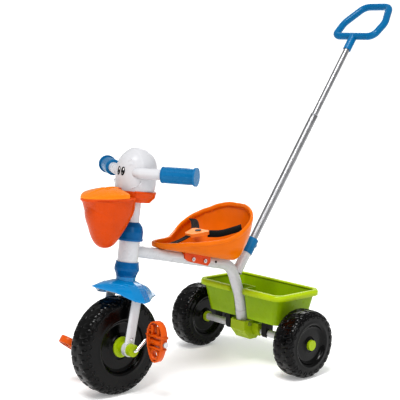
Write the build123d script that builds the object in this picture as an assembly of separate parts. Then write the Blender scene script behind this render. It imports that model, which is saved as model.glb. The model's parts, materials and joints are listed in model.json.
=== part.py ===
from build123d import *
import os
from math import atan2, cos, degrees, radians, sin, sqrt, tan

# Children's tricycle with a push rod, millimetres.
# The front faces -Y, the rider's left is +X and the floor is Z = 0.
# The model is drawn with the rear axle above Y = 0. It is then shifted along Y,
# so that the origin is the bottom centre of the whole tricycle.

# ---- driving dimensions: wheels and axles ----
front_wheel_radius = 120.0
front_wheel_width = 65.0
front_axle_y = -470.0
rear_wheel_radius = 89.0
rear_wheel_width = 68.0
rear_wheel_x = 195.3
wheel_wall = 3.5
crank_rod_radius = 4.0
crank_offset_y = 32.0
crank_offset_z = 26.0
crank_arm_x = 77.0
crank_bend_radius = 5.0
spindle_end_x = 147.0
axle_rod_radius = 5.0
axle_tube_radius = 10.0
axle_tube_wall = 1.6
axle_collar_radius = 14.5
axle_collar_width = 8.0

# ---- driving dimensions: steering ----
steer_lean = 6.0
steer_origin_y = -459.0
steerer_radius = 16.0
steerer_wall = 2.0
leg_x = 49.5
leg_width = 29.0
leg_thickness = 12.0
crown_bottom = 122.5
crown_top = 131.0
hub_bush_radius = 14.0
hub_bush_inner_x = 41.0
hub_bush_outer_x = 70.0
hub_lip_radius = 15.0
head_tube_radius = 25.5
head_tube_wall = 2.0
head_tube_bottom = 199.0
head_tube_top = 266.0
bush_flange = 3.0
bush_depth = 14.0
collar_bolt_rise = 11.0
post_radius = 18.5
post_wall = 2.4
post_top = 430.0
bar_radius = 13.0
bar_wall = 2.0
bar_height = 543.0
bar_y = -441.8
bar_bend_x = 36.0
bar_sweep_back = 28.0
grip_start_x = 91.5
grip_length = 86.0
grip_radius = 19.0
grip_flange_radius = 22.3
grip_end_wall = 4.0

# ---- driving dimensions: animal head and beak basket ----
head_radius = 49.5
head_base_radius = 46.0
head_wide_height = 428.0
head_base_height = 366.0
head_top_height = 482.5
head_wall = 2.5
eye_spacing = 15.0
eye_height = 424.0
eye_width = 11.0
eye_tall = 21.0
basket_y = -506.0
basket_top = 482.0
basket_half_x = 53.0
basket_half_y = 58.0
basket_wall = 2.5
rim_thickness = 5.0
beak_tip_y = -577.0
beak_half_width = 57.0
lid_dome_radius = 160.0
lid_top = 508.0
lid_hinge_y = -474.5
lid_hinge_z = 503.0
lid_pin_radius = 2.0

# ---- driving dimensions: frame, seat and rear end ----
frame_tube_radius = 15.0
frame_tube_wall = 2.0
main_tube_start = (-425.0, 348.9)
frame_bend = (-80.0, 274.6)
frame_knee = (-43.0, 190.0)
down_tube_end = (-24.5, 104.0)
saddle_front_y = -264.0
saddle_rear_y = -174.0
saddle_half_width = 19.0
seat_nose_y = -346.0
seat_back_y = -60.0
seat_half_width = 104.0
seat_top = 444.0
seat_wall = 4.0
bracket_half_width = 26.0
tub_half_width = 152.0
tub_front_y = -52.5
tub_rear_y = 117.0
tub_floor_z = 124.0
tub_top_z = 209.5
tub_rim_height = 15.0
tub_wall = 2.6
tub_taper = 16.0
tub_clip_x = 68.0
tub_clip_width = 16.0

strap_width = 25.0
strap_thickness = 1.6
crotch_strap_width = 20.0
shield_y = -212.0
shield_z = 372.0
shield_thickness = 9.0
button_radius = 8.0

# ---- driving dimensions: push rod ----
rod_lean = 35.05
socket_mouth = (-22.0, 300.0)
socket_radius = 14.0
rod_radius = 10.5
rod_wall = 1.2
rod_insert = 64.0
rod_step = 447.0
upper_rod_radius = 8.5
upper_rod_insert = 230.0
collar_length = 44.0
collar_radius = 16.0
handle_neck_start = 676.0
handle_base = 724.0
handle_radius = 10.3
handle_lean = 50.0
handle_half_width = 72.0
handle_length = 138.0
release_travel = 2.0

# ---- clearances ----
running = 0.10
slide_gap = 0.20
soft_gap = 0.30

steering = Location((0, steer_origin_y, front_wheel_radius), (-steer_lean, 0, 0))
wheel_turn = Rotation(0, 90, 0)
pieces = {}


# ---- small helpers ----
def rod_between(start, end, radius):
    axis = Vector(*end) - Vector(*start)
    return extrude(Plane(origin=start, z_dir=axis) * Circle(radius), axis.length)


def tube_between(start, end, outer, inner):
    return rod_between(start, end, outer) - rod_between(start, end, inner)


def x_rod(x0, x1, y, z, radius):
    return rod_between((min(x0, x1), y, z), (max(x0, x1), y, z), radius)


def x_tube(x0, x1, y, z, outer, inner):
    return x_rod(x0, x1, y, z, outer) - x_rod(x0, x1, y, z, inner)


def turned(points):
    return revolve(make_face(Polyline([(r, 0, z) for r, z in points], close=True)), Axis.Z)


def box_between(low, high):
    size = [b - a for a, b in zip(low, high)]
    centre = [(a + b) / 2 for a, b in zip(low, high)]
    return Pos(*centre) * Box(*size)


def mirrored_x(part):
    return mirror(part, about=Plane.YZ)


def together(parts):
    group = Part()
    for part in parts:
        group += part
    return group


def add_pair(name, left_part):
    pieces[name + "_left"] = left_part
    pieces[name + "_right"] = mirrored_x(left_part)


def rod_point(distance):
    """A point on the push rod's axis, at a distance from the socket's mouth."""
    lean = radians(rod_lean)
    return (0, socket_mouth[0] + distance * sin(lean), socket_mouth[1] + distance * cos(lean))


def seat_line(y):
    """Height of the line that the seat rests on: just above the main tube."""
    (y0, z0), (y1, z1) = main_tube_start, frame_bend
    slope = (z1 - z0) / (y1 - y0)
    return z0 + slope * (y - y0) + (frame_tube_radius + 3.0) * sqrt(1 + slope * slope)


# ---- front wheel, hub and crank ----
def wheel(radius, width, bore, recess, hub_face, boss, shoulder):
    half = width / 2
    wall = wheel_wall
    side = [(bore, hub_face), (boss, hub_face), (recess - 3, hub_face - 3), (recess, half - 3),
            (recess + 10, half), (radius * shoulder, half - 1), (radius, half * 0.62)]
    inner = [(bore, hub_face - wall), (boss, hub_face - wall), (recess + 1, hub_face - 3 - wall),
             (recess + 4, half - 3 - wall), (recess + 12, half - wall), (radius * shoulder - 3, half - 1 - wall),
             (radius - wall, half * 0.56)]
    outline = side + [(r, -z) for r, z in reversed(side)]
    hollow = inner + [(r, -z) for r, z in reversed(inner)]
    hollow = [(bore - 1, inner[0][1])] + hollow + [(bore - 1, -inner[0][1])]
    return turned(outline) - turned(hollow)


def front_wheel_parts():
    place = Pos(0, front_axle_y, front_wheel_radius) * wheel_turn
    bore = 15.2
    hub_face = 22.0
    tyre = wheel(front_wheel_radius, front_wheel_width, bore, 66, hub_face, 28, 0.955)
    pieces["front_wheel"] = place * tyre
    rod_bore = crank_rod_radius + 0.05
    spool = turned([(rod_bore, 0.4), (bore - slide_gap, 0.4), (bore - slide_gap, hub_face + 0.1),
                    (25.5, hub_face + 0.1), (25.5, hub_face + 4), (15, hub_face + 7),
                    (14, hub_bush_inner_x - soft_gap), (rod_bore, hub_bush_inner_x - soft_gap)])
    add_pair("hub_spool", place * spool)
    y, z = front_axle_y, front_wheel_radius
    near = (y + crank_offset_y, z + crank_offset_z)
    far = (y - crank_offset_y, z - crank_offset_z)
    path = FilletPolyline((-spindle_end_x, *far), (-crank_arm_x, *far), (-crank_arm_x, y, z),
                          (crank_arm_x, y, z), (crank_arm_x, *near), (spindle_end_x, *near),
                          radius=crank_bend_radius)
    profile = Plane(origin=(-spindle_end_x, *far), z_dir=(1, 0, 0)) * Circle(crank_rod_radius)
    pieces["crank_axle"] = sweep(profile, path=path)
    caps = []
    for side, (cap_y, cap_z) in ((1, near), (-1, far)):
        cap = x_rod(side * (spindle_end_x - 3.4), side * (spindle_end_x + 1.6), cap_y, cap_z, 7)
        hole = x_rod(side * (spindle_end_x - 4), side * (spindle_end_x + 0.05), cap_y, cap_z, rod_bore)
        caps.append(cap - hole)
    pieces["pedal_end_caps"] = together(caps)
    pieces["pedal_left"] = Pos(0, *near) * foot_pedal()
    pieces["pedal_right"] = Pos(0, *far) * Rotation(55, 0, 0) * mirrored_x(foot_pedal())


def foot_outline(inset):
    outline = Pos(0, -26) * Circle(24 - inset)
    outline += Polygon((-33 + inset, 33), (33 - inset, 33), (24 - inset, -26), (-24 + inset, -26),
                       align=None)
    for toe_x, toe_z in ((-22, 37), (0, 41), (22, 37)):
        outline += Pos(toe_x, toe_z) * Circle(11.4 - inset)
    return outline


def foot_pedal():
    """Foot-shaped pedal about its spindle: toes up, sole and instep facing -Y and +Y."""
    inner_x = crank_arm_x + crank_rod_radius + 0.8
    half_width = 33.0
    thickness = 18.0
    centre_x = inner_x + half_width + 0.4
    upright = Plane(origin=(centre_x, 0, 0), x_dir=(1, 0, 0), z_dir=(0, -1, 0))
    body = extrude(upright * foot_outline(0), thickness / 2, both=True)
    pocket = upright * foot_outline(3.2)
    for side in (-1, 1):
        body -= extrude(pocket.moved(Location((0, side * 5.5, 0))), 3.5, both=True)
    boss_end = spindle_end_x - 4.0
    body += x_rod(inner_x + 0.2, boss_end, 0, 0, 7.8)
    for rib_z in (-8, 8):
        body += box_between((inner_x + 1.5, -8, rib_z - 1.6), (boss_end, 8, rib_z + 1.6))
    for slot_x in (-20, 0, 20):
        slot = Pos(slot_x, 31) * SlotOverall(20, 5, rotation=90)
        body -= extrude(upright * slot, thickness, both=True)
    heel = Pos(0, -26) * Triangle(a=22, b=22, c=22)
    body -= extrude(upright * heel, thickness, both=True)
    body -= x_rod(inner_x - 1, spindle_end_x + 20, 0, 0, crank_rod_radius + running)
    body -= x_rod(boss_end, spindle_end_x + 20, 0, 0, 8.5)
    return body


# ---- fork, bushes, collars and mudguard ----
def hub_centre():
    return (front_axle_y, front_wheel_radius)


def fork_parts():
    legs = Part()
    top = steering * Pos(leg_x, 0, crown_top) * Pos(0, 0, 0)
    top_point = top.position
    foot_point = Vector(leg_x, *hub_centre())
    along = foot_point - top_point
    section = Plane(origin=top_point, x_dir=(1, 0, 0), z_dir=along) * Ellipse(leg_thickness / 2, leg_width / 2)
    leg = extrude(section, along.length)
    half = leg_thickness / 2
    leg += x_rod(leg_x - half, leg_x + half, *hub_centre(), hub_bush_radius + 4)
    leg -= x_rod(leg_x - 20, leg_x + 20, *hub_centre(), hub_bush_radius)
    screw_y = front_axle_y + 4
    screw_z = front_wheel_radius + hub_bush_radius + 12
    leg -= x_rod(leg_x - 20, leg_x + 20, screw_y, screw_z, 2.0)
    legs = leg + mirrored_x(leg)
    edge = leg_x + half
    crown = box_between((-edge, -14, crown_bottom), (edge, 14, crown_top))
    steerer_top = post_top - 78
    stem = turned([(steerer_radius - steerer_wall, crown_top - 1), (steerer_radius, crown_top - 1),
                   (steerer_radius, steerer_top), (steerer_radius - steerer_wall, steerer_top)])
    pieces["fork"] = legs + steering * (crown + stem)
    screws = []
    for side in (-1, 1):
        shank = x_rod(side * (leg_x - half + 1), side * (edge + 0.1), screw_y, screw_z, 1.95)
        head = x_rod(side * edge, side * (edge + 2.4), screw_y, screw_z, 4.2)
        screws.append(shank + head)
    pieces["fork_screws"] = together(screws)
    hub = hub_centre()
    bush = x_rod(hub_bush_inner_x, edge + 0.1, *hub, hub_bush_radius - 0.05)
    bush += x_rod(edge + 0.05, hub_bush_outer_x, *hub, hub_lip_radius)
    bush -= x_rod(0, 200, *hub, crank_rod_radius + running)
    add_pair("hub_bush", bush)


def arch_section(y, half_width, peak, edge, thickness):
    """One cross-section of the mudguard: an arched strip standing across the wheel."""
    outer = ThreePointArc((-half_width, edge), (0, peak), (half_width, edge))
    right = Line((half_width, edge), (half_width - 0.3, edge - thickness))
    inner = ThreePointArc((half_width - 0.3, edge - thickness), (0, peak - thickness),
                          (-half_width + 0.3, edge - thickness))
    left = Line((-half_width + 0.3, edge - thickness), (-half_width, edge))
    strip = make_face([outer, right, inner, left])
    return Plane(origin=(0, y, 0), x_dir=(1, 0, 0), z_dir=(0, -1, 0)) * strip


def mudguard_parts():
    thickness = 2.6
    stations = ((-99, 4, 147.5, 146.5), (-60, 42, 156, 138), (-25, 72, 161, 121), (0, 79, 162, 117),
                (25, 69, 158, 119), (60, 38, 146, 123), (100, 4, 121.5, 120.5))
    shell = Part()
    sections = [arch_section(*station, thickness) for station in stations]
    for front, rear in zip(sections[:-1], sections[1:]):
        shell += loft([front, rear], ruled=True)
    boss_top = 168.0
    boss = Pos(0, 0, (crown_top + boss_top) / 2) * Cylinder(24, boss_top - crown_top)
    bore = Pos(0, 0, boss_top) * Cylinder(steerer_radius + 0.2, 200)
    pieces["mudguard"] = steering * (shell + boss - bore)
    seat = head_tube_bottom - bush_flange - soft_gap
    bore_radius = steerer_radius + 0.2
    cup = head_tube_radius + 1.0
    lower = turned([(bore_radius, boss_top), (24.5, boss_top), (25.5, 173), (30.5, 184), (30.5, 190),
                    (28.5, 200), (28.0, 204.5), (cup, 204.5), (cup, seat), (bore_radius, seat)])
    pieces["lower_collar"] = steering * lower
    skirt = head_tube_top - 9.0
    ceiling = head_tube_top + bush_flange + 1.0
    neck = post_radius + 0.1
    upper = turned([(cup, skirt), (32, skirt), (32, skirt + 5), (30.8, skirt + 6), (31, skirt + 22),
                    (28, skirt + 34), (22, skirt + 42), (neck, skirt + 45), (neck, ceiling), (cup, ceiling)])
    pieces["upper_collar"] = steering * (upper - bolt_room())
    bolt_z = head_tube_top + collar_bolt_rise
    shank = rod_between((0, steerer_radius + 0.3, bolt_z), (0, 32, bolt_z), 2.5)
    head = rod_between((0, 29, bolt_z), (0, 34, bolt_z), 5.0) - Pos(0, 0, bolt_z) * Cylinder(31.05, 20)
    pieces["collar_bolt"] = steering * (shank + head)


def head_bushes():
    inner = head_tube_radius - head_tube_wall
    bore = steerer_radius + running
    low = head_tube_bottom
    lower = turned([(bore, low - bush_flange), (head_tube_radius, low - bush_flange), (head_tube_radius, low),
                    (inner, low), (inner, low + bush_depth), (bore, low + bush_depth)])
    top = head_tube_top
    upper = turned([(bore, top + bush_flange), (head_tube_radius, top + bush_flange), (head_tube_radius, top),
                    (inner, top), (inner, top - bush_depth), (bore, top - bush_depth)])
    pieces["lower_head_bush"] = steering * lower
    pieces["upper_head_bush"] = steering * upper


# ---- handlebar, grips and animal head ----
def bar_point(x):
    """A point on the left arm of the handlebar, which sweeps back from the bend."""
    return (x, bar_y + (x - bar_bend_x) * tan(radians(bar_sweep_back)), bar_height)


def bar_end_x():
    return grip_start_x + grip_length * cos(radians(bar_sweep_back)) - grip_end_wall


def bar_sweep(radius):
    """A round bar along the handlebar: straight across the head, then swept back."""
    x, y, z = bar_point(bar_end_x())
    path = FilletPolyline((-x, y, z), (-bar_bend_x, bar_y, bar_height), (bar_bend_x, bar_y, bar_height),
                          (x, y, z), radius=28)
    return sweep(Plane(origin=(-x, y, z), z_dir=(path % 0)) * Circle(radius), path=path)


def handlebar_parts():
    bottom = head_tube_top + bush_flange + soft_gap
    post = turned([(steerer_radius + 0.1, bottom), (post_radius, bottom), (post_radius, post_top),
                   (0, post_top), (0, post_top - 3), (steerer_radius + 0.1, post_top - 3)])
    bar = bar_sweep(bar_radius)
    solid_middle = box_between((-16, bar_y - 30, bar_height - 30), (16, bar_y + 30, bar_height + 30))
    hollow = bar_sweep(bar_radius - bar_wall) - solid_middle
    pieces["handlebar"] = (steering * post) + bar - hollow - steering * bolt_room()
    grip_run = grip_length * cos(radians(bar_sweep_back))
    inner, outer = Vector(*bar_point(grip_start_x)), Vector(*bar_point(grip_start_x + grip_run))
    along = (outer - inner).normalized()
    flange = outer - along * 5.0
    grip = rod_between(inner, outer - along * 0.2, grip_radius)
    grip += rod_between(flange, outer, grip_flange_radius)
    bar_tip = Vector(*bar_point(bar_end_x())) + along * 0.2
    grip -= rod_between(inner - along, bar_tip, bar_radius + 0.05)
    add_pair("grip", grip)


def bolt_room():
    """The hole that the collar's bolt passes through in the collar and the post."""
    bolt_z = head_tube_top + collar_bolt_rise
    return rod_between((0, steerer_radius - 2, bolt_z), (0, 60, bolt_z), 2.55)


def head_solid(offset):
    wide = head_radius + offset
    tall = head_top_height - head_wide_height + offset
    base = head_base_radius + offset
    low = head_base_height
    top = head_wide_height + tall
    skin = Spline((base, low), (wide, head_wide_height), (wide * 0.866, head_wide_height + tall * 0.5),
                  (wide * 0.5, head_wide_height + tall * 0.866), (0, top), tangents=((0.18, 1), (-1, 0)))
    edge = Polyline((0, top), (0, low), (base, low))
    return revolve(Plane.XZ * make_face([skin, edge]), Axis.Z)


def head_parts():
    shell = steering * (head_solid(0) - head_solid(-head_wall))
    shell -= bar_sweep(bar_radius + 0.2)
    shell -= steering * (Pos(0, 0, head_base_height) * Cylinder(post_radius + 0.3, 8))
    seam_y = (steering.inverse() * Pos(*bar_point(head_radius))).position.Y
    front_room = steering * box_between((-80, -120, 300), (80, seam_y, 520))
    pieces["head_front_shell"] = shell & front_room
    pieces["head_rear_shell"] = shell - front_room
    skin = head_solid(0.9) - head_solid(0)
    eyes = []
    for side in (-1, 1):
        outline = Pos(side * eye_spacing / 2, eye_height) * Ellipse(eye_width / 2, eye_tall / 2)
        upright = Plane(origin=(0, 0, 0), x_dir=(1, 0, 0), z_dir=(0, -1, 0))
        eyes.append(steering * (extrude(upright * outline, 90) & skin))
    pieces["eyes"] = together(eyes)


def beak_outline(inset):
    tip = beak_tip_y + inset
    wide = beak_half_width - inset
    rear = -462.0
    half = Spline((0, tip), (wide * 0.42, tip + 13), (wide * 0.82, tip + 43), (wide, -492),
                  (wide * 0.97, rear), tangents=((1, 0), (-0.1, 1)))
    other = mirror(half, about=Plane.YZ)
    return make_face([half, other, Line((wide * 0.97, rear), (-wide * 0.97, rear))])


def bowl_solid(inset):
    """The pouch under the beak, from its rounded tip up to the rim."""
    sections = ((366.0, 9, 9, -5), (369.5, 17.5, 16, -5), (377.0, 26, 23, -5), (392.0, 35.5, 31, -4),
                (416.0, 44.5, 40, -3), (447.0, 50.5, 50, -2), (basket_top + 1, basket_half_x, basket_half_y, 0))
    faces = []
    for index, (height, half_x, half_y, shift) in enumerate(sections):
        lift = inset if index == 0 else (inset * 0.6 if index == 1 else 0)
        faces.append(Pos(0, basket_y + shift, height + lift) * Ellipse(half_x - inset, half_y - inset))
    return loft(faces)


def basket_parts():
    rim = extrude(Pos(0, 0, basket_top) * beak_outline(0), rim_thickness)
    mouth = Pos(0, basket_y, basket_top - 2) * Ellipse(basket_half_x - basket_wall, basket_half_y - basket_wall)
    opening = extrude(mouth, rim_thickness + 4)
    dish_floor = 352.0
    dish_top = 378.0
    dish_radius = 52.5
    dish = turned([(post_radius + 0.3, dish_floor), (40, dish_floor), (dish_radius - 2, dish_floor + 12),
                   (dish_radius, dish_top), (dish_radius - 2.4, dish_top), (dish_radius - 4.4, dish_floor + 13),
                   (39, dish_floor + 3), (post_radius + 0.3, dish_floor + 3)])
    pouch = bowl_solid(0) + rim + steering * dish
    ear_x = 8.0
    for side in (-1, 1):
        ear = box_between((side * ear_x if side > 0 else -ear_x - 3, lid_hinge_y - 5, basket_top + 2),
                          (ear_x + 3 if side > 0 else -ear_x, lid_hinge_y + 5, lid_hinge_z))
        ear += x_rod(side * ear_x, side * (ear_x + 3), lid_hinge_y, lid_hinge_z, 5)
        pouch += ear
    clear_head = steering * head_solid(0.5)
    dish_room = steering * (Pos(0, 0, (dish_floor + dish_top) / 2) * Cylinder(dish_radius, dish_top - dish_floor))
    pouch = pouch - (opening + bowl_solid(basket_wall) - dish_room) - clear_head
    pouch -= x_rod(-ear_x, ear_x, lid_hinge_y, lid_hinge_z, 5.6)
    pouch -= steering * (Pos(0, 0, 350) * Cylinder(post_radius + 0.3, 80))
    pouch -= x_rod(-20, 20, lid_hinge_y, lid_hinge_z, lid_pin_radius)
    pieces["basket"] = pouch
    pieces["lid_hinge_pin"] = x_rod(-ear_x - 3.8, ear_x + 3.8, lid_hinge_y, lid_hinge_z, lid_pin_radius - 0.02)
    pieces["basket_lid"] = lid_part(ear_x)


def lid_part(ear_x):
    base = basket_top + rim_thickness + soft_gap
    centre = (0, -500, lid_top - lid_dome_radius)
    outer = extrude(Pos(0, 0, base) * beak_outline(0.4), 40) & (Pos(*centre) * Sphere(lid_dome_radius))
    inner = extrude(Pos(0, 0, base - 1) * beak_outline(3.0), 41)
    inner &= Pos(*centre) * Sphere(lid_dome_radius - 2.6)
    lid = outer - inner
    lid -= box_between((-80, lid_hinge_y - 6.5, base - 2), (80, -440, lid_top + 5))
    lid += box_between((-ear_x + 0.3, lid_hinge_y - 8, lid_hinge_z - 2.6), (ear_x - 0.3, lid_hinge_y, lid_hinge_z + 2.6))
    lid += x_rod(-ear_x + 0.3, ear_x - 0.3, lid_hinge_y, lid_hinge_z, 5)
    lid -= x_rod(-20, 20, lid_hinge_y, lid_hinge_z, lid_pin_radius + running)
    return lid


# ---- frame ----
def frame_path():
    points = [(0, *main_tube_start), (0, *frame_bend), (0, *frame_knee), (0, *down_tube_end)]
    return FilletPolyline(*points, radius=[62, 160])


def frame_sweep(radius):
    path = frame_path()
    start = Plane(origin=(0, *main_tube_start), z_dir=(path % 0))
    return sweep(start * Circle(radius), path=path)


def rib(front_y, rear_y):
    """A low ridge on the main tube that carries the seat."""
    half = 7.0
    depth = 14.0
    points = [(front_y, seat_line(front_y)), (rear_y, seat_line(rear_y)),
              (rear_y, seat_line(rear_y) - depth), (front_y, seat_line(front_y) - depth)]
    face = make_face(Polyline([(0, y, z) for y, z in points], close=True))
    return extrude(face, half, dir=(1, 0, 0), both=True)


def frame_parts():
    head_inner = head_tube_radius - head_tube_wall
    head_outer = steering * turned([(0, head_tube_bottom), (head_tube_radius, head_tube_bottom),
                                    (head_tube_radius, head_tube_top), (0, head_tube_top)])
    head_bore = steering * (Pos(0, 0, (head_tube_bottom + head_tube_top) / 2) * Cylinder(head_inner, 200))
    socket = rod_between(rod_point(-60), rod_point(0), socket_radius)
    frame = frame_sweep(frame_tube_radius) + head_outer + socket
    frame += rib(-322, saddle_front_y - 2) + rib(saddle_rear_y + 2, -128)
    frame -= frame_sweep(frame_tube_radius - frame_tube_wall)
    frame -= head_bore
    frame -= rod_between(rod_point(-rod_insert - 2), rod_point(10), rod_radius + slide_gap)
    for screw_y, screw_z in saddle_screw_places():
        frame -= x_rod(-30, 30, screw_y, screw_z, 2.55)
    frame -= x_rod(-40, 40, *bracket_bolt_place(), 3.05)
    pieces["main_frame"] = frame


def tube_axis_z(y):
    (y0, z0), (y1, z1) = main_tube_start, frame_bend
    return z0 + (z1 - z0) * (y - y0) / (y1 - y0)


def saddle_screw_places():
    return [(y, tube_axis_z(y) + 1.0) for y in (saddle_front_y + 28, saddle_rear_y - 20)]


def saddle_parts():
    """The orange foot of the seat: an inverted U that straddles the main tube."""
    y0, y1 = saddle_front_y, saddle_rear_y
    drop = 9.0
    points = [(y0, seat_line(y0)), (y1, seat_line(y1)), (y1, tube_axis_z(y1)), (y1 - 9, tube_axis_z(y1) - drop),
              (y0 + 12, tube_axis_z(y0) - drop), (y0, tube_axis_z(y0))]
    block = extrude(make_face(Polyline([(0, y, z) for y, z in points], close=True)), saddle_half_width,
                    dir=(1, 0, 0), both=True)
    tube = rod_between((0, *main_tube_start), (0, *frame_bend), frame_tube_radius + 0.15)
    under = make_face(Polyline([(0, y0 - 5, tube_axis_z(y0 - 5)), (0, y1 + 5, tube_axis_z(y1 + 5)),
                                (0, y1 + 5, tube_axis_z(y1 + 5) - 40), (0, y0 - 5, tube_axis_z(y0 - 5) - 40)],
                               close=True))
    saddle = block - tube - extrude(under, frame_tube_radius + 0.15, dir=(1, 0, 0), both=True)
    screws = []
    for screw_y, screw_z in saddle_screw_places():
        saddle -= x_rod(-30, 30, screw_y, screw_z, 2.55)
        for side in (-1, 1):
            face = side * saddle_half_width
            shank = x_rod(face - side * 7.5, face + side * 0.5, screw_y, screw_z, 2.5)
            screws.append(shank + x_rod(face, face + side * 3, screw_y, screw_z, 5.2))
    pieces["seat_saddle"] = saddle
    pieces["seat_screws"] = together(screws)


# ---- seat and harness ----
def seat_outline(height, nose_y, back_y, wide):
    """Plan of the bucket at one height: narrow nose, broad hips and a round back."""
    span = back_y - nose_y
    depth = span * 0.32
    nose_side = [(wide * 0.27, nose_y + span * 0.065), (wide * 0.44, nose_y + span * 0.27),
                 (wide * 0.80, nose_y + span * 0.49)]
    angles = [radians(turn) for turn in (0, 30, 60)]
    round_side = [(wide * cos(a), back_y - depth + depth * sin(a)) for a in angles]
    half = nose_side + round_side
    other_half = [(-x, y) for x, y in reversed(half)]
    outline = Spline((0, nose_y), *half, (0, back_y), *other_half, periodic=True)
    return Pos(0, 0, height) * make_face(outline)


def bucket(inset, floor_lift):
    levels = ((296.0, seat_nose_y + 10, seat_back_y - 44, seat_half_width * 0.74),
              (350.0, seat_nose_y, seat_back_y - 14, seat_half_width * 0.97),
              (455.0, seat_nose_y - 12, seat_back_y, seat_half_width * 1.02))
    faces = [seat_outline(z, nose + inset, back - inset, wide - inset) for z, nose, back, wide in levels]
    solid = loft(faces)
    below = [(seat_nose_y - 60, seat_line(seat_nose_y - 60) + floor_lift),
             (seat_floor_break(), seat_line(seat_floor_break()) + floor_lift),
             (seat_back_y + 40, seat_line(seat_floor_break()) + floor_lift + 22),
             (seat_back_y + 40, 200), (seat_nose_y - 60, 200)]
    return solid - x_prism(below)


def seat_floor_break():
    return seat_back_y - 78.0


def x_prism(points):
    face = make_face(Polyline([(0, y, z) for y, z in points], close=True))
    return extrude(face, 200, dir=(1, 0, 0), both=True)


def rim_cut():
    """Everything above the seat's rim, which climbs from the nose to the backrest."""
    rise = Spline((seat_nose_y, 361), (seat_nose_y + 90, 359), (seat_nose_y + 150, 366),
                  (seat_nose_y + 200, 380), (seat_nose_y + 246, 404), (seat_nose_y + 270, 425),
                  (seat_back_y - 2, seat_top), tangents=((1, -0.03), (1, 1.2)))
    front = Polyline((seat_nose_y, 361), (seat_nose_y - 60, 361), (seat_nose_y - 60, 600),
                     (seat_back_y + 60, 600), (seat_back_y + 60, seat_top + 5), (seat_back_y - 2, seat_top))
    face = make_face([rise, front])
    return extrude(Plane.YZ * face, 200, both=True)


def seat_parts():
    shell = bucket(0, 0.1) - bucket(seat_wall, seat_wall)
    shell -= rim_cut()
    for side in (-1, 1):
        shell -= box_between((side * 75 - 14, seat_back_y - 40, 392), (side * 75 + 14, seat_back_y + 20, 396))
    pieces["seat_shell"] = shell
    harness_parts()
    anchor = box_between((-15, seat_back_y - 20, 386), (15, seat_back_y + 26, 410))
    anchor = fillet(anchor.edges().filter_by(Axis.Z), 6)
    solid = bucket(0, 0.1)
    pieces["harness_anchor"] = anchor - solid


def shield_outline(spread):
    corners = [(-14 - spread, -26 - spread), (14 + spread, -26 - spread), (34 + spread, 26 + spread),
               (-34 - spread, 26 + spread)]
    outline = Polygon(*corners, align=None)
    return fillet(outline.vertices(), 9 + spread)


def harness_parts():
    """Two shoulder straps and a crotch strap that meet at a shield with a release button."""
    place = Location((0, shield_y, shield_z - shield_thickness / 2), (8, 0, 0))
    shield = extrude(shield_outline(0), shield_thickness)
    upward = (Align.CENTER, Align.CENTER, Align.MIN)
    button_room = Pos(0, 10, 5) * Cylinder(button_radius + slide_gap, 20, align=upward)
    pieces["harness_shield"] = place * (shield - button_room)
    pieces["harness_button"] = place * Pos(0, 10, 7.2) * Cylinder(button_radius, 4, align=upward)
    shield_room = place * Pos(0, 0, -5) * extrude(shield_outline(soft_gap), shield_thickness + 10)
    inside = bucket(seat_wall + soft_gap, seat_wall + soft_gap)
    centre = Vector(0, shield_y, shield_z)
    strap = flat_strap(centre, Vector(112, -112, 393), strap_width, strap_thickness)
    strap -= box_between((-200, -400, 300), (6, 0, 500))
    add_pair("harness_strap", (strap - shield_room) & inside)
    crotch = flat_strap(centre, Vector(0, seat_nose_y - 8, 357), crotch_strap_width, strap_thickness)
    pieces["crotch_strap"] = (crotch - shield_room) & inside


def flat_strap(start, end, width, thickness):
    along = end - start
    across = Vector(0, 0, 1).cross(along).normalized()
    plane = Plane(origin=start, x_dir=across, z_dir=along)
    return extrude(plane * Rectangle(width, thickness), along.length)


# ---- push rod ----
def push_rod_parts():
    collar = rod_between(rod_point(0.1), rod_point(collar_length), collar_radius)
    collar -= rod_between(rod_point(-5), rod_point(collar_length + 5), rod_radius + slide_gap)
    lean = radians(rod_lean)
    back = Vector(0, cos(lean), -sin(lean))
    middle = Vector(*rod_point(collar_length - 12))
    boss = rod_between(middle + back * (rod_radius + 2), middle + back * (collar_radius + 2.5), 7.0)
    boss -= rod_between(rod_point(-5), rod_point(collar_length + 5), rod_radius + slide_gap)
    button_radius = 4.0
    inner_end = rod_radius + slide_gap + release_travel + 0.6
    hole = rod_between(middle, middle + back * 40, button_radius + running)
    pieces["push_socket_collar"] = collar + boss - hole
    button = rod_between(middle + back * inner_end, middle + back * (collar_radius + 6.0), button_radius)
    pieces["rod_release_button"] = button
    lower = tube_between(rod_point(-rod_insert), rod_point(rod_step), rod_radius, rod_radius - rod_wall)
    pieces["push_rod_lower"] = lower
    bush_bore = upper_rod_radius + running
    bush = tube_between(rod_point(rod_step - 20), rod_point(rod_step + 0.1), rod_radius - rod_wall - 0.02, bush_bore)
    bush += tube_between(rod_point(rod_step + 0.05), rod_point(rod_step + 2.5), rod_radius, bush_bore)
    pieces["push_rod_bush"] = bush
    upper = tube_between(rod_point(rod_step - upper_rod_insert), rod_point(handle_base - 16), upper_rod_radius,
                         upper_rod_radius - rod_wall)
    pieces["push_rod_upper"] = upper
    pieces["push_handle"] = push_handle()


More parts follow.
